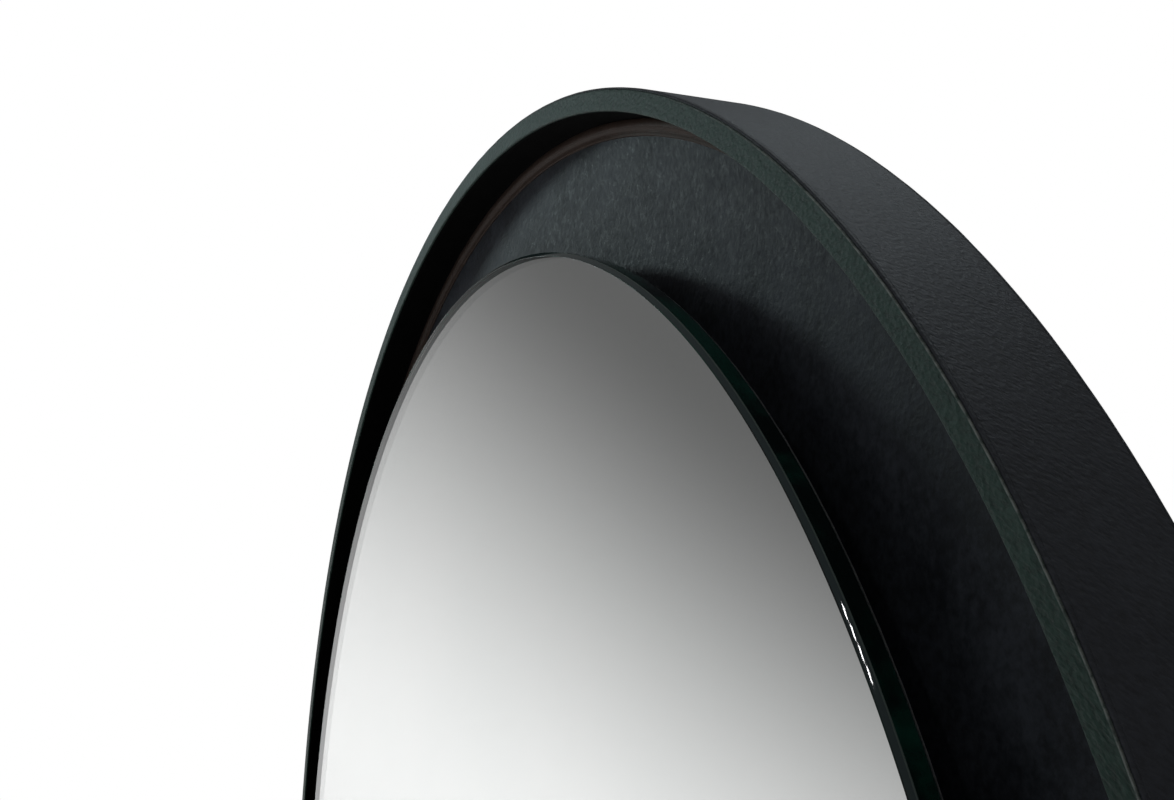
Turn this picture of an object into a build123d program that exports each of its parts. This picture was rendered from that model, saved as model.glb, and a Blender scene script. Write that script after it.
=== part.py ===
"""Round wall mirror: a leatherette-covered hoop, a recessed panel and a raised disc of glass.

Millimetres, +Z up. The front faces -Y and the wall is the plane y = 0. The origin is on the wall
plane, on the mirror's axis. Heights named h are distances forward from the wall.
"""
from build123d import *
from math import cos, radians, sin
import os

os.makedirs("parts", exist_ok=True)

# --- driving dimensions -------------------------------------------------------------------------
outer_r = 300.0          # outside of the covered hoop
frame_depth = 28.0       # front rim to the hoop's rear edge
wall_gap = 1.5           # hoop's rear edge to the wall, set by the bumpers
wrap_t = 0.65            # leatherette covering
hoop_t = 5.0             # bent plywood hoop
fit_gap = 0.2            # between a disc and the ring around it

panel_rear_h = 6.0
panel_t = 9.0
cloth_t = 0.4

bead_width = 4.5
bead_height = 1.5
bead_flat = 1.8
bead_hollow = 0.25       # how far the slope is hollowed

spacer_r = 190.0
spacer_t = 9.0
tape_t = 1.6
film_t = 0.2
silver_t = 0.2

glass_r = 256.0
glass_t = 6.0
glass_front_arris = 1.2
glass_rear_arris = 0.6
film_margin = 0.8        # film stops short of the glass edge
silver_margin = 0.4      # silver stops short of the glass edge

# --- heights forward from the wall --------------------------------------------------------------
rear_edge_h = wall_gap
rim_front_h = rear_edge_h + frame_depth
cloth_rear_h = panel_rear_h - cloth_t
panel_front_h = panel_rear_h + panel_t
cover_front_h = panel_front_h + wrap_t
spacer_front_h = cover_front_h + spacer_t
tape_front_h = spacer_front_h + tape_t
film_front_h = tape_front_h + film_t
silver_front_h = film_front_h + silver_t

# --- radii --------------------------------------------------------------------------------------
hoop_outer_r = outer_r - wrap_t
hoop_inner_r = hoop_outer_r - hoop_t
lining_r = hoop_inner_r - wrap_t
panel_r = hoop_inner_r - fit_gap
cover_r = lining_r - fit_gap

# --- fasteners ----------------------------------------------------------------------------------
spacer_screw_count = 6
spacer_screw_ring_r = 150.0
spacer_screw_r = 1.9
spacer_screw_length = 16.0
spacer_screw_head_r = 3.9
spacer_screw_point = 3.0
countersink_deg = 45.0
point_share = 0.8        # of the shank's radius that the point takes off
recess_length = 3.8      # cross recess in every screw head
recess_width = 0.8
recess_depth = 1.2

pin_count = 12
pin_r = 0.7
pin_length = 22.0
pin_h = panel_rear_h + panel_t / 2

staple_count = 16
staple_ring_r = 284.0
staple_crown = 10.0
staple_wire = 0.7
staple_leg = 6.0

# --- hangers ------------------------------------------------------------------------------------
hanger_x = 150.0
hanger_z = 150.0         # height of the knuckle above the centre
strap_t = 1.0
strap_width = 10.0
strap_length = 31.0
strap_screw_drop = 25.5  # knuckle to screw
wire_r = 1.25
wire_clearance = 0.05
ring_half_width = 12.0
ring_height = 20.0
ring_corner_r = 3.0
ring_bar = 10.0          # straight stretch in the knuckle
ring_lean_deg = 4.0      # the ring hangs this far off the strap

knuckle_inner_r = wire_r + wire_clearance
knuckle_outer_r = knuckle_inner_r + strap_t
knuckle_h = cloth_rear_h - knuckle_outer_r

hanger_screw_r = 1.75
hanger_screw_length = 10.0
hanger_screw_head_r = 3.4
hanger_screw_head_t = 2.0
hanger_screw_point = 2.5
strap_hole_clearance = 0.25
screw_dome = 0.8

# --- bumpers, tape and adhesive -----------------------------------------------------------------
bumper_count = 4
bumper_ring_r = 268.0
bumper_r = 6.0
bumper_edge = 0.8
first_bumper_deg = 45.0

tape_width = 25.0
tape_length = 220.0
tape_pitch = 90.0
tape_count = 4
dab_r = 22.0
dab_pitch = 95.0


def front_plane(h):
    """A plane at height h from the wall whose normal points out of the front."""
    return Plane.XZ.offset(h)


def rear_plane(h):
    """A plane at height h from the wall whose normal points at the wall."""
    return Plane(origin=(0, -h, 0), x_dir=(-1, 0, 0), z_dir=(0, 1, 0))


def save(part, name):
    """Labels a finished piece and writes its file."""
    part.label = name
    export_step(part, "parts/" + name + ".step")


def radial_plane(angle_deg, radius, h):
    """A plane on a cylinder of that radius, facing outward."""
    angle = radians(angle_deg)
    outward = (cos(angle), 0, sin(angle))
    return Plane(origin=(radius * outward[0], -h, radius * outward[2]), x_dir=(0, 1, 0), z_dir=outward)


# --- spacer screws: countersunk, driven from the rear of the panel -------------------------------
# The blanks have no recess, so the boards are cut with them and no wood is left in the recess.
with BuildPart() as spacer_screw_blanks:
    with BuildSketch(front_plane(panel_rear_h)):
        with PolarLocations(spacer_screw_ring_r, spacer_screw_count):
            Circle(spacer_screw_head_r)
    extrude(amount=spacer_screw_head_r - spacer_screw_r, taper=countersink_deg)
    with BuildSketch(front_plane(panel_rear_h)):
        with PolarLocations(spacer_screw_ring_r, spacer_screw_count):
            Circle(spacer_screw_r)
    extrude(amount=spacer_screw_length)
    spacer_tips = spacer_screw_blanks.faces().group_by(Axis.Y)[0].edges()
    chamfer(spacer_tips, length=spacer_screw_point, length2=spacer_screw_r * point_share)

with BuildPart() as spacer_screws:
    add(spacer_screw_blanks.part)
    with BuildSketch(rear_plane(panel_rear_h)):
        with PolarLocations(spacer_screw_ring_r, spacer_screw_count):
            Rectangle(recess_length, recess_width)
            Rectangle(recess_width, recess_length)
    extrude(amount=-recess_depth, mode=Mode.SUBTRACT)
save(spacer_screws.part, "spacer_screws")

# --- hoop pins: headless brads from the hoop into the panel's edge -------------------------------
with BuildPart() as hoop_pins:
    for index in range(pin_count):
        pin_angle = (index + 0.5) * 360 / pin_count
        with BuildSketch(radial_plane(pin_angle, hoop_outer_r, pin_h)):
            Circle(pin_r)
        extrude(amount=-pin_length)
save(hoop_pins.part, "hoop_pins")

# --- staples: a crown on the cloth and two legs in the panel -------------------------------------
with BuildPart() as cloth_staples:
    with BuildSketch(rear_plane(cloth_rear_h)):
        with PolarLocations(staple_ring_r, staple_count):
            Rectangle(staple_wire, staple_crown)
    extrude(amount=staple_wire)
    with BuildSketch(rear_plane(cloth_rear_h)):
        with PolarLocations(staple_ring_r, staple_count):
            with Locations((0, (staple_crown - staple_wire) / 2), (0, -(staple_crown - staple_wire) / 2)):
                Rectangle(staple_wire, staple_wire)
    extrude(amount=-staple_leg)
save(cloth_staples.part, "cloth_staples")

# --- hanger screws: pan heads on the straps ------------------------------------------------------
with BuildPart() as hanger_screws:
    head_h = cloth_rear_h - strap_t
    strap_screw_places = [(-hanger_x, hanger_z - strap_screw_drop), (hanger_x, hanger_z - strap_screw_drop)]
    with BuildSketch(rear_plane(head_h)):
        with Locations(*strap_screw_places):
            Circle(hanger_screw_head_r)
    extrude(amount=hanger_screw_head_t)
    fillet(hanger_screws.faces().group_by(Axis.Y)[-1].edges(), radius=screw_dome)
    with BuildSketch(rear_plane(head_h)):
        with Locations(*strap_screw_places):
            Circle(hanger_screw_r)
    extrude(amount=-hanger_screw_length)
    hanger_tips = hanger_screws.faces().group_by(Axis.Y)[0].edges()
    chamfer(hanger_tips, length=hanger_screw_point, length2=hanger_screw_r * point_share)
    with BuildSketch(rear_plane(head_h - hanger_screw_head_t)):
        with Locations(*strap_screw_places):
            Rectangle(recess_length, recess_width)
            Rectangle(recess_width, recess_length)
    extrude(amount=-recess_depth, mode=Mode.SUBTRACT)
save(hanger_screws.part, "hanger_screws")

# --- the hoop and its covering -------------------------------------------------------------------
with BuildPart() as frame_hoop:
    with BuildSketch(front_plane(rear_edge_h)):
        Circle(hoop_outer_r)
        Circle(hoop_inner_r, mode=Mode.SUBTRACT)
    extrude(amount=frame_depth - wrap_t)
    add(hoop_pins.part, mode=Mode.SUBTRACT)
save(frame_hoop.part, "frame_hoop")

with BuildPart() as outer_wrap:
    with BuildSketch(front_plane(rear_edge_h)):
        Circle(outer_r)
        Circle(hoop_outer_r, mode=Mode.SUBTRACT)
    extrude(amount=frame_depth)
save(outer_wrap.part, "outer_wrap")

with BuildPart() as rim_trim:
    with BuildSketch(front_plane(rim_front_h - wrap_t)):
        Circle(hoop_outer_r)
        Circle(lining_r, mode=Mode.SUBTRACT)
    extrude(amount=wrap_t)
save(rim_trim.part, "rim_trim")

with BuildPart() as inner_wrap:
    with BuildSketch(front_plane(panel_front_h)):
        Circle(hoop_inner_r)
        Circle(lining_r, mode=Mode.SUBTRACT)
    extrude(amount=rim_front_h - wrap_t - panel_front_h)
save(inner_wrap.part, "inner_wrap")

# --- bead: a flat shelf against the wall, then a hollow slope down to the panel ------------------
with BuildPart() as inner_bead:
    bead_outer_r = cover_r
    with BuildSketch(Plane.XY):
        with BuildLine():
            shelf_edge = (bead_outer_r - bead_flat, -(cover_front_h + bead_height))
            toe = (bead_outer_r - bead_width, -cover_front_h)
            Polyline(toe, (bead_outer_r, toe[1]), (bead_outer_r, shelf_edge[1]), shelf_edge)
            SagittaArc(shelf_edge, toe, bead_hollow)
        make_face()
    revolve(axis=Axis.Y)
save(inner_bead.part, "inner_bead")

# --- the panel and its covering ------------------------------------------------------------------
with BuildPart() as back_panel:
    with BuildSketch(front_plane(panel_rear_h)):
        Circle(panel_r)
    extrude(amount=panel_t)
    for fasteners in (spacer_screw_blanks, hoop_pins, cloth_staples, hanger_screws):
        add(fasteners.part, mode=Mode.SUBTRACT)
save(back_panel.part, "back_panel")

with BuildPart() as panel_cover:
    with BuildSketch(front_plane(panel_front_h)):
        Circle(cover_r)
    extrude(amount=wrap_t)
    add(spacer_screw_blanks.part, mode=Mode.SUBTRACT)
save(panel_cover.part, "panel_cover")

with BuildPart() as dust_cloth:
    with BuildSketch(front_plane(cloth_rear_h)):
        Circle(panel_r - fit_gap)
    extrude(amount=cloth_t)
    for fasteners in (cloth_staples, hanger_screws):
        add(fasteners.part, mode=Mode.SUBTRACT)
save(dust_cloth.part, "dust_cloth")

# --- what holds the glass off the panel ----------------------------------------------------------
with BuildPart() as spacer_board:
    with BuildSketch(front_plane(cover_front_h)):
        Circle(spacer_r)
    extrude(amount=spacer_t)
    add(spacer_screw_blanks.part, mode=Mode.SUBTRACT)
save(spacer_board.part, "spacer_board")

with BuildPart() as foam_tape:
    with BuildSketch(front_plane(spacer_front_h)):
        with GridLocations(tape_pitch, 1, tape_count, 1):
            Rectangle(tape_width, tape_length)
    extrude(amount=tape_t)
save(foam_tape.part, "foam_tape")

with BuildPart() as adhesive_dabs:
    with BuildSketch(front_plane(spacer_front_h)):
        with GridLocations(tape_pitch, dab_pitch, tape_count - 1, 2):
            Circle(dab_r)
    extrude(amount=tape_t)
save(adhesive_dabs.part, "adhesive_dabs")

with BuildPart() as safety_film:
    with BuildSketch(front_plane(tape_front_h)):
        Circle(glass_r - film_margin)
    extrude(amount=film_t)
save(safety_film.part, "safety_film")

with BuildPart() as silver_backing:
    with BuildSketch(front_plane(film_front_h)):
        Circle(glass_r - silver_margin)
    extrude(amount=silver_t)
save(silver_backing.part, "silver_backing")

with BuildPart() as mirror_glass:
    with BuildSketch(front_plane(silver_front_h)):
        Circle(glass_r)
    extrude(amount=glass_t)
    chamfer(mirror_glass.faces().sort_by(Axis.Y)[0].edges(), length=glass_front_arris)
    chamfer(mirror_glass.faces().sort_by(Axis.Y)[-1].edges(), length=glass_rear_arris)
save(mirror_glass.part, "mirror_glass")

# --- hangers: a strap with a rolled knuckle, and a rounded triangular ring ------------------------
for side_name, side in (("left", -1), ("right", 1)):
    knuckle_centre = (side * hanger_x, -knuckle_h, hanger_z)
    strap_start = (side * hanger_x, hanger_z)
    bar_section = Plane(origin=knuckle_centre, x_dir=(0, 1, 0), z_dir=(1, 0, 0))

    with BuildPart() as hanger_strap:
        with BuildSketch(front_plane(cloth_rear_h - strap_t)):
            with Locations((strap_start[0], strap_start[1] - strap_length / 2)):
                Rectangle(strap_width, strap_length)
            with Locations((strap_start[0], strap_start[1] - strap_length)):
                Circle(strap_width / 2)
            with Locations((strap_start[0], strap_start[1] - strap_screw_drop)):
                Circle(hanger_screw_r + strap_hole_clearance, mode=Mode.SUBTRACT)
        extrude(amount=strap_t)
        with BuildSketch(bar_section):
            Circle(knuckle_outer_r)
        extrude(amount=strap_width / 2, both=True)
        # The bore is cut longer than the knuckle, so that both its ends are open.
        with BuildSketch(bar_section):
            Circle(knuckle_inner_r)
        extrude(amount=strap_width, both=True, mode=Mode.SUBTRACT)
    save(hanger_strap.part, side_name + "_hanger_strap")

    lean = radians(ring_lean_deg)
    ring_plane = Plane(origin=knuckle_centre, x_dir=(1, 0, 0), z_dir=(0, -cos(lean), -sin(lean)))
    with BuildPart() as hanger_ring:
        with BuildLine(ring_plane) as ring_path:
            FilletPolyline(
                (ring_bar / 2, 0),
                (ring_half_width, 0),
                (0, -ring_height),
                (-ring_half_width, 0),
                (-ring_bar / 2, 0),
                radius=ring_corner_r,
            )
        with BuildSketch(bar_section.offset(ring_bar / 2)):
            Circle(wire_r)
        sweep(path=ring_path.line)
        with BuildSketch(bar_section):
            Circle(wire_r)
        extrude(amount=ring_bar / 2, both=True)
    save(hanger_ring.part, side_name + "_hanger_ring")

# --- bumpers: flat rubber discs that rest on the wall --------------------------------------------
with BuildPart() as wall_bumpers:
    with BuildSketch(rear_plane(cloth_rear_h)):
        with PolarLocations(bumper_ring_r, bumper_count, start_angle=first_bumper_deg):
            Circle(bumper_r)
    extrude(amount=cloth_rear_h)
    chamfer(wall_bumpers.faces().group_by(Axis.Y)[-1].edges(), length=bumper_edge)
save(wall_bumpers.part, "wall_bumpers")
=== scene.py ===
"""The looks of the round wall mirror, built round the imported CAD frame. Metres, +Z up, front faces -Y."""
import math
import bpy
from mathutils import Matrix, Vector, noise


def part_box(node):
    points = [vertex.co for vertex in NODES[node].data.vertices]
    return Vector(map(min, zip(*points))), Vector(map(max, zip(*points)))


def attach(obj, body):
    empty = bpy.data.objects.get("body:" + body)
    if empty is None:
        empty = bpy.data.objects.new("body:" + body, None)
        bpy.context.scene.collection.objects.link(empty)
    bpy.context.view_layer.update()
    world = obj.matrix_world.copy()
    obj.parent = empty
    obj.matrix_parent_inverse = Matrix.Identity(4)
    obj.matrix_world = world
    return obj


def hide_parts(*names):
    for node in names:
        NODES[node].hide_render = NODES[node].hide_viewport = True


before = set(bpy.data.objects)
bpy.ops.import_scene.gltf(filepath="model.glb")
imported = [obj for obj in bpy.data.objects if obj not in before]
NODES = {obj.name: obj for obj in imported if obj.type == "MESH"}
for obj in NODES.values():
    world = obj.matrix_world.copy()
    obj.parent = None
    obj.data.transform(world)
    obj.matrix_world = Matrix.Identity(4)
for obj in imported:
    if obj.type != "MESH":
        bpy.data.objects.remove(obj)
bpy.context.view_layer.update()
BODY = "mirror"
MM = 0.001
TURN = 2 * math.pi


# --- measures of the frame ----------------------------------------------------------------------
def radii(node):
    """The smallest and largest distance of a node's vertices from the mirror's axis."""
    distances = [math.hypot(v.co.x, v.co.z) for v in NODES[node].data.vertices]
    return min(distances), max(distances)


def heights(node):
    """How far forward of the wall a node starts and ends."""
    low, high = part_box(node)
    return -high[1], -low[1]


HOOP_R, OUTER_R = radii("outer_wrap")
LINING_R, LINING_BACK_R = radii("inner_wrap")
TRIM_IN_R, TRIM_OUT_R = radii("rim_trim")
BEAD_IN_R, BEAD_OUT_R = radii("inner_bead")
GLASS_R = radii("mirror_glass")[1]
REAR_H, FRONT_H = heights("outer_wrap")
TRIM_BACK_H = heights("rim_trim")[0]
LINING_BACK_H, LINING_FRONT_H = heights("inner_wrap")
PANEL_H = heights("panel_cover")[1]
BEAD_H = heights("inner_bead")[1]
GLASS_BACK_H, GLASS_FRONT_H = heights("mirror_glass")


# --- mesh helpers -------------------------------------------------------------------------------
ROUNDING_STEPS = 5


def rounded(corners):
    """A closed outline of (r, h, radius) corners, each corner with its own rounding."""
    outline = []
    count = len(corners)
    for i, (r, h, radius) in enumerate(corners):
        here = Vector((r, h))
        before = Vector(corners[i - 1][:2])
        after = Vector(corners[(i + 1) % count][:2])
        if radius <= 0:
            outline.append((r, h))
            continue
        start = here + (before - here).normalized() * radius
        end = here + (after - here).normalized() * radius
        for step in range(ROUNDING_STEPS + 1):
            t = step / ROUNDING_STEPS
            point = start * (1 - t) ** 2 + here * 2 * t * (1 - t) + end * t**2
            outline.append((point.x, point.y))
    return outline


def subdivide_outline(outline, longest):
    """Adds points so that no side of the outline is longer than longest."""
    points = []
    for i, a in enumerate(outline):
        b = outline[(i + 1) % len(outline)]
        cuts = max(1, math.ceil(math.dist(a, b) / longest))
        for k in range(cuts):
            points.append((a[0] + (b[0] - a[0]) * k / cuts, a[1] + (b[1] - a[1]) * k / cuts))
    return points


def ring(name, outline, segments, shape):
    """Turns a closed outline of (r, h) round the mirror's axis. Its UV map runs in metres: round, and along.

    shape(angle, r, h) returns the moved (r, h). Angle 0 is the bottom.
    """
    count = len(outline)
    along = [0.0]
    for i in range(count):
        along.append(along[-1] + math.dist(outline[i], outline[(i + 1) % count]))
    verts, faces, uvs = [], [], []
    mean_r = sum(p[0] for p in outline) / count
    for s in range(segments):
        angle = TURN * s / segments
        for r, h in outline:
            r, h = shape(angle, r, h)
            verts.append((r * math.sin(angle), -h, -r * math.cos(angle)))
    for s in range(segments):
        a, b = s * count, (s + 1) % segments * count
        u0, u1 = mean_r * TURN * s / segments, mean_r * TURN * (s + 1) / segments
        for i in range(count):
            j = (i + 1) % count
            faces.append((a + i, a + j, b + j, b + i))
            uvs += [(u0, along[i]), (u0, along[i + 1]), (u1, along[i + 1]), (u1, along[i])]
    return finish_mesh(name, verts, faces, uvs)


def finish_mesh(name, verts, faces, uvs=None):
    """Makes the object, points its faces outward and shades it smooth."""
    mesh = bpy.data.meshes.new(name)
    mesh.from_pydata(verts, [], faces)
    if uvs:
        layer = mesh.uv_layers.new(name="surface")
        for loop, uv in zip(layer.data, uvs):
            loop.uv = uv
    mesh.validate()
    obj = bpy.data.objects.new(name, mesh)
    bpy.context.scene.collection.objects.link(obj)
    if signed_volume(mesh) < 0:
        mesh.flip_normals()
    mesh.shade_smooth()
    return obj


def signed_volume(mesh):
    """The volume the faces close, negative when they point inward."""
    total = 0.0
    for polygon in mesh.polygons:
        corners = [mesh.vertices[i].co for i in polygon.vertices]
        for k in range(1, len(corners) - 1):
            total += corners[0].dot(corners[k].cross(corners[k + 1]))
    return total / 6


def uneven(angle, depth, scale, seed):
    """A smooth uneven hollow round the ring, 0 to about twice depth, that joins up with itself."""
    return depth * (1 + noise.noise(Vector((scale * math.cos(angle), scale * math.sin(angle), seed))))


# --- material helpers ---------------------------------------------------------------------------
class Graph:
    """A short way to write node materials."""

    def __init__(self, name):
        self.material = bpy.data.materials.new(name)
        self.material.use_nodes = True
        self.tree = self.material.node_tree
        self.shader = self.tree.nodes["Principled BSDF"]
        self.output = self.tree.nodes["Material Output"]

    def add(self, kind, settings=None, **inputs):
        """Adds a node. Inputs are given by name with _ for a space; a socket is linked, a value is set."""
        node = self.tree.nodes.new(kind)
        for key, value in (settings or {}).items():
            setattr(node, key, value)
        for key, value in inputs.items():
            self.put(node.inputs[key.replace("_", " ")], value)
        return node

    def put(self, socket, value):
        """Links or sets one socket."""
        if isinstance(value, bpy.types.NodeSocket):
            self.tree.links.new(value, socket)
        else:
            socket.default_value = value

    def math(self, operation, a, b=0.0):
        node = self.add("ShaderNodeMath", {"operation": operation})
        self.put(node.inputs[0], a)
        self.put(node.inputs[1], b)
        return node.outputs[0]

    def mean(self, a, b, share):
        """share of a and the rest of b."""
        return self.math("ADD", self.math("MULTIPLY", a, share), self.math("MULTIPLY", b, 1 - share))

    def blend(self, share, a, b, blend_type="MIX"):
        """Goes from colour a to colour b."""
        node = self.add("ShaderNodeMix", {"data_type": "RGBA", "blend_type": blend_type})
        for socket, value in ((node.inputs["Factor"], share), (node.inputs[6], a), (node.inputs[7], b)):
            self.put(socket, value)
        return node.outputs[2]

    def surface(self, turn=0.0, stretch=(1, 1, 1)):
        """The piece's own surface in millimetres, turned by that many degrees."""
        uv = self.add("ShaderNodeUVMap", {"uv_map": "surface"}).outputs["UV"]
        return self.mapped(uv, turn, stretch)

    def space(self, turn=0.0, stretch=(1, 1, 1)):
        """Object space in millimetres, turned about the mirror's axis."""
        object_space = self.add("ShaderNodeTexCoord").outputs["Object"]
        return self.mapped(object_space, turn, stretch, axis=1)

    def mapped(self, vector, turn, stretch, axis=2):
        rotation = [0.0, 0.0, 0.0]
        rotation[axis] = math.radians(turn)
        turned = self.add("ShaderNodeMapping", Vector=vector, Rotation=tuple(rotation)).outputs[0]
        scale = tuple(s / MM for s in stretch)
        return self.add("ShaderNodeMapping", Vector=turned, Scale=scale).outputs[0]

    def noise(self, vector, scale, detail=3.0, roughness=0.55):
        node = self.add("ShaderNodeTexNoise", Vector=vector, Scale=scale, Detail=detail, Roughness=roughness)
        return node.outputs["Fac"]

    def cells(self, vector, scale):
        return self.add("ShaderNodeTexVoronoi", Vector=vector, Scale=scale).outputs["Distance"]

    def ramp(self, value, *stops, smooth=True):
        """A colour ramp from (position, colour) stops. A grey stop is one number."""
        node = self.add("ShaderNodeValToRGB", Fac=value)
        ramp = node.color_ramp
        ramp.interpolation = "EASE" if smooth else "LINEAR"
        while len(ramp.elements) < len(stops):
            ramp.elements.new(0.5)
        for element, (position, colour) in zip(ramp.elements, stops):
            element.position = position
            shade = (colour,) * 3 if isinstance(colour, (int, float)) else colour
            element.color = (*shade, 1)
        return node.outputs["Color"]

    def level(self, value, low, high):
        """Scales a 0 to 1 value to low to high."""
        node = self.add("ShaderNodeMapRange", Value=value, To_Min=low, To_Max=high)
        return node.outputs["Result"]

    def bump(self, height, distance):
        """distance is in metres."""
        return self.add("ShaderNodeBump", Height=height, Distance=distance, Strength=1.0).outputs[0]

    def set(self, **inputs):
        for key, value in inputs.items():
            self.put(self.shader.inputs[key.replace("_", " ")], value)
        return self.material


def leatherette(
    name, dark, light, turn, grain_mm, depth_mm, rough,
    uv=True, specular=0.5, contrast=0.45, pull=0.38, patchy=0.08, edge_highlight=False,
):
    """Coated leatherette: pebbles and creases pulled along one direction, with blotches of tone.

    contrast is how dark the creases are painted, a painted shade in them, 1 for not at all. patchy is how
    far the roughness varies.
    """
    g = Graph(name)
    where = g.surface if uv else g.space
    crease_stretch = (1, pull, 1) if uv else (1, pull, pull)
    creases = g.noise(where(turn, crease_stretch), 0.9 / grain_mm, detail=4.0, roughness=0.6)
    pebbles = g.cells(where(turn, (1, 0.7, 1)), 1.0 / grain_mm)
    blotches = g.noise(where(), 0.05, detail=4.0, roughness=0.6)
    mottle = g.noise(where(), 0.45, detail=3.0, roughness=0.7)
    skin = g.ramp(g.mean(blotches, mottle, 0.55), (0.36, dark), (0.64, light))
    # Painted shade: the colour is darkened in the creases.
    colour = g.blend(0.7, skin, g.ramp(creases, (0.3, contrast), (0.6, 1.0)), "MULTIPLY")
    # The rim's outer corner gets a painted highlight on the mirror's right side.
    if edge_highlight:
        colour = painted_corner_highlight(g, colour)
    relief = g.math("ADD", g.math("MULTIPLY", creases, 0.75), g.math("MULTIPLY", pebbles, 0.35))
    dullness = g.math("ADD", creases, g.math("MULTIPLY", mottle, 0.5))
    return g.set(
        Base_Color=colour,
        Roughness=g.level(dullness, rough - patchy, rough + patchy),
        Normal=g.bump(relief, depth_mm * MM),
        Specular_IOR_Level=specular,
    )


def painted_corner_highlight(g, colour):
    """A painted highlight: the rim's outer corner, painted paler in flecks on the mirror's right side where
    the edge catches the light.

    The rim's UV map starts at its inner rear corner, so the outer front corner comes after its width
    and its thickness.
    """
    corner_mm = (TRIM_OUT_R - TRIM_IN_R + FRONT_H - TRIM_BACK_H) / MM
    start_mm, full_mm = 110.0, 210.0
    surface = g.surface()
    along = g.add("ShaderNodeSeparateXYZ", Vector=surface).outputs["Y"]
    off = g.math("ABSOLUTE", g.math("SUBTRACT", along, corner_mm))
    near = g.add("ShaderNodeMapRange", Value=off, From_Min=0.18, From_Max=0.42, To_Min=1.0, To_Max=0.0)
    across = g.add("ShaderNodeSeparateXYZ", Vector=g.space()).outputs["X"]
    right = g.add("ShaderNodeMapRange", Value=across, From_Min=start_mm, From_Max=full_mm)
    # Pale flecks of painted highlight along that corner.
    flecks = g.ramp(g.noise(surface, 0.5, detail=3.0), (0.35, 0.25), (0.6, 1.0))
    highlight = g.math("MULTIPLY", g.math("MULTIPLY", near.outputs["Result"], right.outputs["Result"]), flecks)
    return g.blend(highlight, colour, (0.34, 0.37, 0.35, 1))


def metal(name, dark, light, rough, streak=(1, 1, 1), scale=0.8):
    """Plated steel: faint streaks, dull spots and small dents."""
    g = Graph(name)
    streaks = g.noise(g.space(stretch=streak), scale, detail=5.0, roughness=0.65)
    spots = g.noise(g.space(), 0.25, detail=3.0)
    colour = g.ramp(g.mean(streaks, spots, 0.6), (0.35, dark), (0.65, light))
    return g.set(
        Base_Color=colour,
        Metallic=1.0,
        Roughness=g.level(streaks, rough - 0.1, rough + 0.14),
        Normal=g.bump(streaks, 0.015 * MM),
    )


def wood(name, dark, light, stretch, rough=0.7):
    """Plywood or fibreboard: fibres pulled along one direction over soft blotches."""
    g = Graph(name)
    fibres = g.noise(g.space(stretch=stretch), 1.6, detail=6.0, roughness=0.7)
    blotches = g.noise(g.space(), 0.06, detail=3.0)
    colour = g.ramp(g.mean(fibres, blotches, 0.65), (0.36, dark), (0.62, light))
    return g.set(
        Base_Color=colour,
        Roughness=g.level(fibres, rough - 0.1, rough + 0.1),
        Normal=g.bump(fibres, 0.06 * MM),
    )


def matt(name, dark, light, scale, depth_mm, rough):
    """Rubber, foam, adhesive or moulded plastic: a fine even texture with uneven tone."""
    g = Graph(name)
    fine = g.noise(g.space(), scale, detail=4.0, roughness=0.65)
    blotches = g.noise(g.space(), scale * 0.08, detail=3.0)
    colour = g.ramp(g.mean(fine, blotches, 0.5), (0.38, dark), (0.62, light))
    return g.set(
        Base_Color=colour,
        Roughness=g.level(fine, rough - 0.08, rough + 0.08),
        Normal=g.bump(fine, depth_mm * MM),
    )


def nonwoven(name, dark, light):
    """Spun-bonded cloth: crossed fibres and a grid of small pressed points."""
    g = Graph(name)
    one = g.noise(g.space(28, (1, 1, 0.12)), 2.2, detail=5.0, roughness=0.7)
    two = g.noise(g.space(-41, (1, 1, 0.12)), 2.2, detail=5.0, roughness=0.7)
    points = g.math("LESS_THAN", g.cells(g.space(0, (1, 0.001, 1)), 0.7), 0.18)
    fibres = g.math("MAXIMUM", one, two)
    relief = g.math("SUBTRACT", fibres, g.math("MULTIPLY", points, 0.5))
    colour = g.ramp(relief, (0.2, dark), (0.75, light))
    return g.set(
        Base_Color=colour,
        Roughness=g.level(fibres, 0.8, 0.98),
        Normal=g.bump(relief, 0.12 * MM),
        Sheen_Weight=0.3,
    )


GLASS_IOR = 1.52


def clear_glass(name):
    """Float glass: clear with faint smears, and green where light passes through much of it."""
    g = Graph(name)
    smears = g.noise(g.space(), 0.02, detail=4.0)
    g.set(
        Base_Color=(1, 1, 1, 1),
        Transmission_Weight=1.0,
        IOR=GLASS_IOR,
        Roughness=g.level(g.ramp(smears, (0.45, 0.0), (0.8, 1.0)), 0.0, 0.004),
    )
    body = g.add("ShaderNodeVolumeAbsorption", Color=(0.42, 0.86, 0.68, 1), Density=2.0)
    g.tree.links.new(body.outputs[0], g.output.inputs["Volume"])
    return g.material


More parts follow.
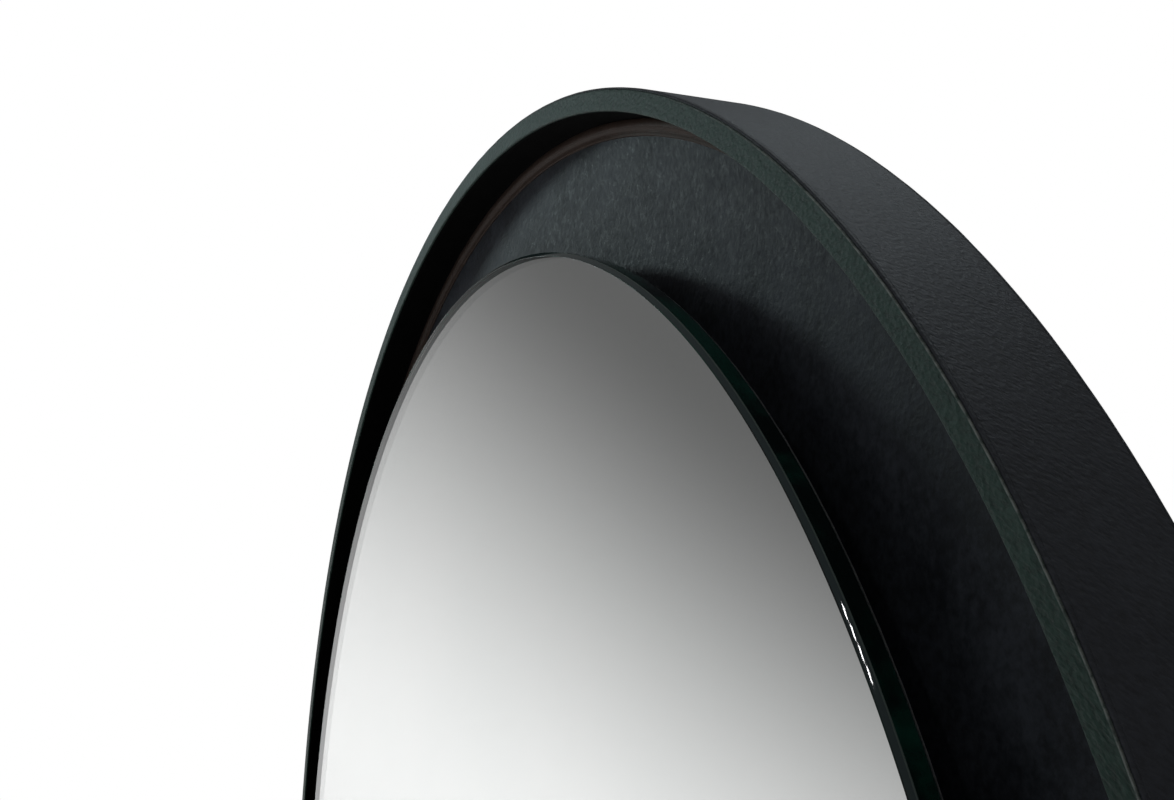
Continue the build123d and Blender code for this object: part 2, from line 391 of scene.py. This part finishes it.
def green_edge_and_painted_glints(name):
    """The polished edge of the glass: near-black green with painted glints in brighter patches, and painted
    highlights along both arrises.
    """
    g = Graph(name)
    where = g.space()
    parts = g.add("ShaderNodeSeparateXYZ", Vector=where)
    depth = g.add(
        "ShaderNodeMapRange",
        Value=parts.outputs["Y"],
        From_Min=-GLASS_FRONT_H / MM,
        From_Max=-GLASS_BACK_H / MM,
    ).outputs["Result"]
    patches = g.noise(where, 0.035, detail=4.0, roughness=0.6)
    # The brighter green patches are painted glints of light inside the glass.
    colour = g.ramp(patches, (0.42, (0.0008, 0.005, 0.004)), (0.60, (0.005, 0.075, 0.050)))
    front_stops = (0.02, 0.0), (0.05, 1.0), (0.19, 0.9), (0.23, 0.0)
    # The paler bands along both arrises and the thin line at the front corner are painted highlights.
    arrises = g.ramp(depth, *front_stops, (0.88, 0.0), (0.94, 0.6), smooth=False)
    corner = g.ramp(depth, (0.17, 0.0), (0.19, 1.0), (0.215, 1.0), (0.235, 0.0), smooth=False)
    colour = g.blend(arrises, colour, (0.045, 0.075, 0.078, 1))
    colour = g.blend(corner, colour, (0.16, 0.22, 0.20, 1))
    return g.set(Base_Color=colour, Roughness=g.level(patches, 0.01, 0.06), IOR=GLASS_IOR)


def silvered(name):
    """The silver layer seen through the glass."""
    g = Graph(name)
    patches = g.noise(g.space(), 0.01, detail=2.0)
    colour = g.ramp(patches, (0.3, (0.93, 0.935, 0.93)), (0.7, (0.95, 0.95, 0.945)))
    return g.set(Base_Color=colour, Metallic=1.0, Roughness=0.0)


WALL_SKIN = leatherette(
    "leatherette_wall", (0.026, 0.029, 0.038), (0.050, 0.055, 0.068),
    turn=38, grain_mm=0.8, depth_mm=0.26, rough=0.52, contrast=0.2,
)
# The rim's green tint is painted reflected light on leatherette like the band's. Its outer corner also
# carries a painted highlight on the right side.
RIM_SKIN = leatherette(
    "leatherette_rim", (0.028, 0.062, 0.050), (0.044, 0.088, 0.072),
    turn=62, grain_mm=0.9, depth_mm=0.24, rough=0.47, specular=0.2, contrast=0.3, edge_highlight=True,
)
# Near-black, far darker than the band's leatherette: painted shade, as the inside wall lies in shade.
LINING_SKIN = leatherette(
    "leatherette_lining", (0.002, 0.002, 0.002), (0.005, 0.005, 0.005),
    turn=20, grain_mm=0.75, depth_mm=0.08, rough=0.85, specular=0.05,
)
PANEL_SKIN = leatherette(
    "leatherette_panel", (0.014, 0.017, 0.022), (0.052, 0.060, 0.074),
    turn=30, grain_mm=1.5, depth_mm=0.19, rough=0.47,
    uv=False, specular=0.3, contrast=0.3, pull=0.9, patchy=0.17,
)
# Much paler than the lining: painted highlight where the bead catches the light, in a brown tone.
BEAD = leatherette(
    "bead_skin", (0.062, 0.038, 0.028), (0.092, 0.060, 0.046),
    turn=10, grain_mm=0.6, depth_mm=0.05, rough=0.58, specular=0.25,
)
GLASS = clear_glass("clear_float_glass")
EDGE = green_edge_and_painted_glints("green_edge_painted_glints")
SILVER = silvered("silvered_back")
PLY = wood("bent_plywood", (0.34, 0.22, 0.12), (0.62, 0.46, 0.28), stretch=(1, 6, 1))
BOARD = wood("fibreboard", (0.30, 0.20, 0.12), (0.46, 0.33, 0.21), stretch=(1, 1, 1), rough=0.85)
CLOTH = nonwoven("black_nonwoven", (0.012, 0.012, 0.013), (0.050, 0.050, 0.052))
NICKEL = metal("nickel_plate", (0.50, 0.49, 0.47), (0.72, 0.71, 0.69), rough=0.26, streak=(1, 1, 0.15))
ZINC = metal("zinc_plate", (0.44, 0.43, 0.40), (0.66, 0.65, 0.60), rough=0.36, scale=1.6)
RUBBER = matt(
    "black_rubber", (0.014, 0.014, 0.014), (0.032, 0.032, 0.032),
    scale=2.5, depth_mm=0.03, rough=0.72,
)
FOAM = matt("foam", (0.60, 0.60, 0.58), (0.80, 0.80, 0.78), scale=1.8, depth_mm=0.2, rough=0.9)
ADHESIVE = matt("cured_adhesive", (0.42, 0.39, 0.33), (0.60, 0.56, 0.49), scale=0.5, depth_mm=0.2, rough=0.5)
FILM = matt("safety_film", (0.58, 0.60, 0.62), (0.72, 0.74, 0.76), scale=0.3, depth_mm=0.02, rough=0.35)
PAINT = matt("mirror_paint", (0.20, 0.21, 0.22), (0.30, 0.31, 0.32), scale=1.2, depth_mm=0.02, rough=0.6)

CARRIED_OVER = {
    "frame_hoop": PLY,
    "back_panel": BOARD,
    "spacer_board": BOARD,
    "panel_cover": PANEL_SKIN,
    "spacer_screws": ZINC,
    "hoop_pins": ZINC,
    "cloth_staples": ZINC,
    "hanger_screws": ZINC,
    "foam_tape": FOAM,
    "adhesive_dabs": ADHESIVE,
    "safety_film": FILM,
    "silver_backing": PAINT,
    "left_hanger_strap": NICKEL,
    "right_hanger_strap": NICKEL,
    "left_hanger_ring": NICKEL,
    "right_hanger_ring": NICKEL,
    "wall_bumpers": RUBBER,
}
for node, material in CARRIED_OVER.items():
    NODES[node].data.materials.clear()
    NODES[node].data.materials.append(material)


def place(obj, node, material):
    """A piece stands for a CAD node and rides on the mirror."""
    obj.data.materials.append(material)
    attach(obj, BODY)
    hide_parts(node)
    return obj


# --- the covered hoop ---------------------------------------------------------------------------
GROOVE = 0.10 * MM       # depth of the pressed line beside each edge roll
ROLL = 0.62 * MM         # width of the rolled edge
SEAM_HALF = 0.5 * MM     # half the width of the butt seam at the bottom
LIP_DROP = 0.32 * MM     # how far the band's front edge lies behind the rim's face
ON_FACE = 0.1 * MM       # how near a face a point counts as lying on it
CORNER = 0.3 * MM        # points this close to the rim's edges belong to its rounded corners


def near_seam(angle):
    """1 at the butt seam at the bottom of the ring, 0 away from it."""
    from_seam = min(angle, TURN - angle) * OUTER_R
    return max(0.0, 1 - from_seam / SEAM_HALF)


def outer_wall():
    """The leatherette band: rolled edges, a pressed line beside each, a butt seam and slight waviness."""
    rear, front, wall, inside = REAR_H, FRONT_H - LIP_DROP, OUTER_R, HOOP_R
    outline = rounded([
        (inside, rear, 0),
        (wall - 0.05 * MM, rear, 0.3 * MM),
        (wall - 0.02 * MM, rear + ROLL, 0.25 * MM),
        (wall - 3 * GROOVE, rear + ROLL + 0.12 * MM, 0.06 * MM),
        (wall, rear + ROLL + 0.34 * MM, 0.12 * MM),
        (wall, front - ROLL - 0.34 * MM, 0.12 * MM),
        (wall - GROOVE, front - ROLL - 0.12 * MM, 0.06 * MM),
        (wall - 0.02 * MM, front - ROLL, 0.25 * MM),
        (wall - 0.05 * MM, front, 0.3 * MM),
        (inside, front, 0),
    ])
    outline = subdivide_outline(outline, 2.5 * MM)

    def shape(angle, r, h):
        if r < inside + ON_FACE:
            return r, h
        edge = max(0.0, 1 - (front - h) / ROLL) + max(0.0, 1 - (h - rear) / ROLL)
        r -= uneven(angle, depth=0.05 * MM, scale=60, seed=3.1) * edge
        r -= uneven(angle, depth=0.035 * MM, scale=9, seed=h * 40)
        r -= 0.35 * MM * near_seam(angle)
        if h > front - ROLL:
            h -= uneven(angle, depth=0.05 * MM, scale=75, seed=8.4)
        return r, h

    return ring("outer_leatherette", outline, 1440, shape)


def rim():
    """The flat front band, turned over the hoop's inner edge."""
    outline = rounded([
        (TRIM_IN_R, TRIM_BACK_H, 0),
        (TRIM_OUT_R, TRIM_BACK_H, 0),
        (TRIM_OUT_R, FRONT_H, 0.18 * MM),
        (TRIM_IN_R, FRONT_H, 0.45 * MM),
    ])
    outline = subdivide_outline(outline, 0.8 * MM)

    def shape(angle, r, h):
        if h > TRIM_BACK_H + ON_FACE:
            h -= uneven(angle, depth=0.03 * MM, scale=14, seed=r * 900)
            if r < TRIM_IN_R + CORNER:
                r += uneven(angle, depth=0.05 * MM, scale=90, seed=1.7)
            if r > TRIM_OUT_R - CORNER:
                r -= uneven(angle, depth=0.07 * MM, scale=110, seed=5.2)
        return r, h

    return ring("rim_leatherette", outline, 2160, shape)


def lining():
    """The leatherette on the inside wall."""
    outline = rounded([
        (LINING_R, LINING_BACK_H, 0),
        (LINING_BACK_R, LINING_BACK_H, 0),
        (LINING_BACK_R, LINING_FRONT_H, 0),
        (LINING_R, LINING_FRONT_H, 0),
    ])
    outline = subdivide_outline(outline, 1.5 * MM)

    def shape(angle, r, h):
        if r < LINING_R + ON_FACE:
            r += uneven(angle, depth=0.04 * MM, scale=12, seed=h * 60)
            r += 0.3 * MM * near_seam(angle)
        return r, h

    return ring("inner_leatherette", outline, 1080, shape)


def bead():
    """Two fine rolls with a hollow between them, from the inside wall down to the panel."""
    width = BEAD_OUT_R - BEAD_IN_R
    rise = BEAD_H - PANEL_H
    outline = rounded([
        (BEAD_IN_R, PANEL_H, 0.12 * MM),
        (BEAD_IN_R + 0.10 * MM, PANEL_H + 0.42 * rise, 0.25 * MM),
        (BEAD_IN_R + 0.20 * width, PANEL_H + 0.44 * rise, 0.3 * MM),
        (BEAD_IN_R + 0.32 * width, PANEL_H + 0.34 * rise, 0.3 * MM),
        (BEAD_IN_R + 0.50 * width, PANEL_H + 0.70 * rise, 0.3 * MM),
        (BEAD_IN_R + 0.58 * width, PANEL_H + rise, 0.35 * MM),
        (BEAD_OUT_R, PANEL_H + rise, 0),
        (BEAD_OUT_R, PANEL_H, 0),
    ])

    def shape(angle, r, h):
        if h > PANEL_H + ON_FACE:
            h -= uneven(angle, depth=0.03 * MM, scale=40, seed=r * 500)
        return r, h

    return ring("bead_piping", outline, 1080, shape)


place(outer_wall(), "outer_wrap", WALL_SKIN)
place(rim(), "rim_trim", RIM_SKIN)
place(lining(), "inner_wrap", LINING_SKIN)
place(bead(), "inner_bead", BEAD)


# --- the glass ----------------------------------------------------------------------------------
FRONT_ARRIS = 1.2 * MM
REAR_ARRIS = 0.6 * MM
SILVER_GAP = 0.05 * MM   # keeps the silvered face clear of the paint behind it


def glass_disc():
    """A disc with polished arrises. Its back face is the silver layer."""
    segments = 1440
    back_h = GLASS_BACK_H + SILVER_GAP
    outline = rounded([
        (GLASS_R - REAR_ARRIS, back_h, 0),
        (GLASS_R, back_h + REAR_ARRIS, 0.12 * MM),
        (GLASS_R, GLASS_FRONT_H - FRONT_ARRIS, 0.15 * MM),
        (GLASS_R - FRONT_ARRIS, GLASS_FRONT_H, 0.1 * MM),
    ])
    count = len(outline)
    verts, faces = [], []
    for s in range(segments):
        angle = TURN * s / segments
        verts += [(r * math.sin(angle), -h, -r * math.cos(angle)) for r, h in outline]
    for s in range(segments):
        a, b = s * count, (s + 1) % segments * count
        faces += [(a + i, a + i + 1, b + i + 1, b + i) for i in range(count - 1)]
    faces.append(tuple(s * count for s in range(segments)))
    faces.append(tuple(s * count + count - 1 for s in reversed(range(segments))))
    obj = finish_mesh("raised_mirror_glass", verts, faces)
    face_slot, silver_slot, edge_slot = range(3)
    for material in (GLASS, SILVER, EDGE):
        obj.data.materials.append(material)
    for polygon in obj.data.polygons:
        if polygon.loop_total <= 4:
            polygon.material_index = edge_slot
            continue
        at_back = abs(polygon.center.y + back_h) < 0.01 * MM
        polygon.material_index = silver_slot if at_back else face_slot
        polygon.use_smooth = False
    return obj


glass = glass_disc()
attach(glass, BODY)
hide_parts("mirror_glass")


# --- the cloth on the back ----------------------------------------------------------------------
CLOTH_R = radii("dust_cloth")[1]
CLOTH_REAR_H, CLOTH_FRONT_H = heights("dust_cloth")
STAPLE_RING_R = sum(radii("cloth_staples")) / 2
STAPLES = 16
HEM_R = CLOTH_R - 9 * MM  # where the turned-in hem starts


def pressed_places():
    """Where the cloth is pressed flat, as (x, z, reach): under each strap and each bumper."""
    strap_reach, bumper_reach, bumper_r = 24 * MM, 12 * MM, 6 * MM
    low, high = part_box("left_hanger_strap")
    strap_x, strap_z = (low[0] + high[0]) / 2, (low[2] + high[2]) / 2
    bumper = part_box("wall_bumpers")[1][0] - bumper_r
    places = [(side * strap_x, strap_z, strap_reach) for side in (-1, 1)]
    places += [(x * bumper, z * bumper, bumper_reach) for x in (-1, 1) for z in (-1, 1)]
    return places


def cloth():
    """The non-woven cloth: a turned-in hem, pulled tight from staple to staple and slack between them."""
    rings, spokes = 60, 480
    pull_reach, staple_reach, edge_reach = 26 * MM, 8 * MM, 40 * MM
    pressed = pressed_places()

    def rise(angle, r):
        """How far the cloth lies in front of its rearmost plane, 0 to 1. The staples hold it at 0."""
        between = 0.5 - 0.5 * math.cos(STAPLES * angle)
        near_staples = max(0.0, 1 - abs(r - STAPLE_RING_R) / pull_reach)
        pull = between * near_staples
        ripple = 0.5 + 0.5 * noise.noise(Vector((26 * r * math.sin(angle), 26 * r * math.cos(angle), 2.7)))
        slack = 0.75 * ripple * min(1.0, (CLOTH_R - r) / edge_reach)
        hem = 0.35 if r > HEM_R else 0.0
        x, z = r * math.sin(angle), -r * math.cos(angle)
        clear = min(1.0, min(math.hypot(x - px, z - pz) / reach for px, pz, reach in pressed) ** 2)
        tight = 1 - max(0.0, 1 - abs(r - STAPLE_RING_R) / staple_reach) * (1 - between)
        return min(1.0, (0.85 * pull + slack + hem) * clear * tight)

    thickness = 0.12 * MM
    room = CLOTH_FRONT_H - CLOTH_REAR_H - thickness
    radii_out = [CLOTH_R * (i / rings) ** 0.9 for i in range(1, rings + 1)]
    verts, faces = [], []
    for front in (0, thickness):
        verts.append((0, -(CLOTH_REAR_H + 0.4 * room + front), 0))
        for r in radii_out:
            for k in range(spokes):
                angle = TURN * k / spokes
                h = CLOTH_REAR_H + room * rise(angle, r) + front
                verts.append((r * math.sin(angle), -h, -r * math.cos(angle)))
    layer = 1 + rings * spokes
    for base in (0, layer):
        turn = 1 if base else -1
        for k in range(spokes):
            n = (k + 1) % spokes
            faces.append((base, base + 1 + k, base + 1 + n)[::turn])
            for i in range(rings - 1):
                a, b = base + 1 + i * spokes, base + 1 + (i + 1) * spokes
                faces.append((a + k, b + k, b + n, a + n)[::turn])
    rim_start = 1 + (rings - 1) * spokes
    for k in range(spokes):
        n = (k + 1) % spokes
        faces.append((rim_start + k, rim_start + n, layer + rim_start + n, layer + rim_start + k))
    return finish_mesh("stapled_dust_cloth", verts, faces)


dust_cloth = place(cloth(), "dust_cloth", CLOTH)


# --- floor, light and camera --------------------------------------------------------------------
FLOOR_HALF = 3.0         # half the floor's side
FLOOR_Z = -0.36          # below the mirror, whose lowest point is at -0.3
FLOOR_FADE = 0.7, 1.25   # distances from the mirror between which the floor fades out
FLOOR_GLOW = 0.72        # for the camera only, so that the floor looks near white
WORLD_TILT = math.radians(50)   # of the direction along which the world fades
WORLD_DARK = 0.125       # brightness of the world above and in front of the mirror
WORLD_LIGHT = 1.03       # and below
BEHIND_LEFT = 0.08       # brightness of the world behind the mirror's plane, at the left
BEHIND_RIGHT = 0.11      # and elsewhere
DIFFUSE_SHARE = 0.12     # how much of the world's light matt shading takes
CAMERA_LENS_MM = 43.51
CAMERA_PLACE = Vector((1.396, -0.4485, 0.497)) * OUTER_R      # from the rim's centre
CAMERA_RIGHT = Vector((0.37018, 0.92897, 0)).normalized()
CAMERA_FORWARD = Vector((-0.91838, 0.36593, 0.1508)).normalized()
STRIPS = 4               # small lamps, whose reflections are the glints on the glass's front arris
STRIP_SPACING = 0.08
STRIPS_MIDDLE = Vector((0.568, -1.439, 1.516))
STRIPS_DIRECTION = Vector((0.717, -0.268, -0.643))


def studio_floor():
    """A pale floor below the mirror that fades out, so that its edge never shows."""
    mesh = bpy.data.meshes.new("studio_floor")
    corners = [(x * FLOOR_HALF, y * FLOOR_HALF, FLOOR_Z) for x, y in ((-1, -1), (1, -1), (1, 1), (-1, 1))]
    mesh.from_pydata(corners, [], [(0, 1, 2, 3)])
    floor = bpy.data.objects.new("studio_floor", mesh)
    bpy.context.scene.collection.objects.link(floor)
    g = Graph("pale_floor")
    mottle = g.noise(g.space(), 0.004, detail=3.0)
    away = g.add("ShaderNodeVectorMath", {"operation": "LENGTH"})
    g.put(away.inputs[0], g.add("ShaderNodeTexCoord").outputs["Object"])
    near, far = FLOOR_FADE
    fade = g.add("ShaderNodeMapRange", Value=away.outputs["Value"], From_Min=near, From_Max=far)
    g.set(Base_Color=g.ramp(mottle, (0.3, 0.80), (0.7, 0.84)), Roughness=0.7)
    seen = g.add("ShaderNodeLightPath").outputs["Is Camera Ray"]
    g.set(Emission_Color=(0.9, 0.9, 0.9, 1), Emission_Strength=g.math("MULTIPLY", seen, FLOOR_GLOW))
    clear = g.add("ShaderNodeBsdfTransparent")
    mix = g.add("ShaderNodeMixShader", Fac=fade.outputs["Result"])
    g.tree.links.new(g.shader.outputs[0], mix.inputs[1])
    g.tree.links.new(clear.outputs[0], mix.inputs[2])
    g.tree.links.new(mix.outputs[0], g.output.inputs["Surface"])
    mesh.materials.append(g.material)


def studio_world():
    """White to look at. What surfaces reflect fades from white below to grey above and in front.

    Behind the mirror's plane it is dark, and a little darker at the left.
    """
    world = bpy.data.worlds.new("studio")
    bpy.context.scene.world = world
    world.use_nodes = True
    tree = world.node_tree
    background = tree.nodes["Background"]
    background.inputs["Color"].default_value = (1, 1, 1, 1)

    def add(kind, **settings):
        node = tree.nodes.new(kind)
        for key, value in settings.items():
            setattr(node, key, value)
        return node

    def fading(value, from_min, from_max, to_min=0.0, to_max=1.0):
        node = add("ShaderNodeMapRange", interpolation_type="SMOOTHSTEP")
        tree.links.new(value, node.inputs["Value"])
        limits = {"From Min": from_min, "From Max": from_max, "To Min": to_min, "To Max": to_max}
        for key, number in limits.items():
            node.inputs[key].default_value = number
        return node.outputs["Result"]

    def choose(share, a, b):
        """a where share is 0, b where it is 1."""
        node = add("ShaderNodeMix", data_type="FLOAT")
        tree.links.new(share, node.inputs["Factor"])
        tree.links.new(a, node.inputs["A"])
        if isinstance(b, bpy.types.NodeSocket):
            tree.links.new(b, node.inputs["B"])
        else:
            node.inputs["B"].default_value = b
        return node.outputs["Result"]

    direction = add("ShaderNodeTexCoord").outputs["Generated"]
    slope = add("ShaderNodeVectorMath", operation="DOT_PRODUCT")
    slope.inputs[1].default_value = (0, math.cos(WORLD_TILT), -math.sin(WORLD_TILT))
    tree.links.new(direction, slope.inputs[0])
    parts = add("ShaderNodeSeparateXYZ")
    tree.links.new(direction, parts.inputs[0])
    ahead = fading(slope.outputs["Value"], -0.42, -0.05, WORLD_DARK, WORLD_LIGHT)
    rearward = fading(parts.outputs["X"], -0.95, -0.20, BEHIND_LEFT, BEHIND_RIGHT)
    around = choose(fading(parts.outputs["Y"], 0.0, 0.25), ahead, rearward)
    diffuse = add("ShaderNodeMath", operation="MULTIPLY")
    tree.links.new(around, diffuse.inputs[0])
    diffuse.inputs[1].default_value = DIFFUSE_SHARE
    rays = add("ShaderNodeLightPath")
    lit = choose(rays.outputs["Is Diffuse Ray"], around, diffuse.outputs[0])
    seen = choose(rays.outputs["Is Camera Ray"], lit, 1.0)
    tree.links.new(seen, background.inputs["Strength"])


def area_light(name, toward, distance, size, watts, colour=(1, 1, 1), glossy=True):
    """A soft box of (width, height) in that direction from the mirror, facing it."""
    lamp = bpy.data.lights.new(name, "AREA")
    lamp.shape = "RECTANGLE"
    lamp.size, lamp.size_y = size
    lamp.energy, lamp.color = watts, colour
    obj = bpy.data.objects.new(name, lamp)
    direction = Vector(toward).normalized()
    obj.location = direction * distance
    obj.rotation_mode = "QUATERNION"
    obj.rotation_quaternion = direction.to_track_quat("Z", "Y")
    obj.visible_camera = obj.visible_transmission = False
    obj.visible_glossy = glossy
    bpy.context.scene.collection.objects.link(obj)


def camera():
    """Close to the right side, looking along the face at the top of the ring."""
    data = bpy.data.cameras.new("camera")
    data.sensor_width, data.lens = 36.0, CAMERA_LENS_MM
    data.clip_start = 0.01
    obj = bpy.data.objects.new("camera", data)
    rim_centre = Vector((0, -FRONT_H, 0))
    right, forward = CAMERA_RIGHT, CAMERA_FORWARD
    up = right.cross(forward)
    obj.matrix_world = Matrix((
        (right.x, up.x, -forward.x, 0),
        (right.y, up.y, -forward.y, 0),
        (right.z, up.z, -forward.z, 0),
        (0, 0, 0, 1),
    ))
    obj.matrix_world.translation = rim_centre + CAMERA_PLACE
    bpy.context.scene.collection.objects.link(obj)
    bpy.context.scene.camera = obj


studio_floor()
studio_world()
area_light(
    "key", toward=(-0.843, -0.386, 0.385), distance=3.2, size=(0.6, 0.3), watts=5.2,
    colour=(0.78, 0.98, 1.0),
)
area_light(
    "front_fill", toward=(-0.44, -0.80, 0.45), distance=1.0, size=(0.4, 0.4), watts=0.8, glossy=False,
)
for strip in range(STRIPS):
    shift = STRIP_SPACING * (strip - (STRIPS - 1) / 2)
    spot = STRIPS_MIDDLE + shift * STRIPS_DIRECTION
    area_light(f"strip_{strip}", toward=spot, distance=spot.length, size=(0.03, 0.064), watts=0.28)
area_light(
    "top_fill", toward=(-0.08, 0.3, 0.94), distance=1.2, size=(0.5, 0.5), watts=1.3,
    colour=(0.84, 0.95, 1.0),
)
area_light(
    "back_fill", toward=(-0.35, 1.0, 0.25), distance=1.6, size=(0.9, 0.9), watts=9.0, glossy=False,
)
camera()
bpy.context.scene.view_settings.view_transform = "Standard"
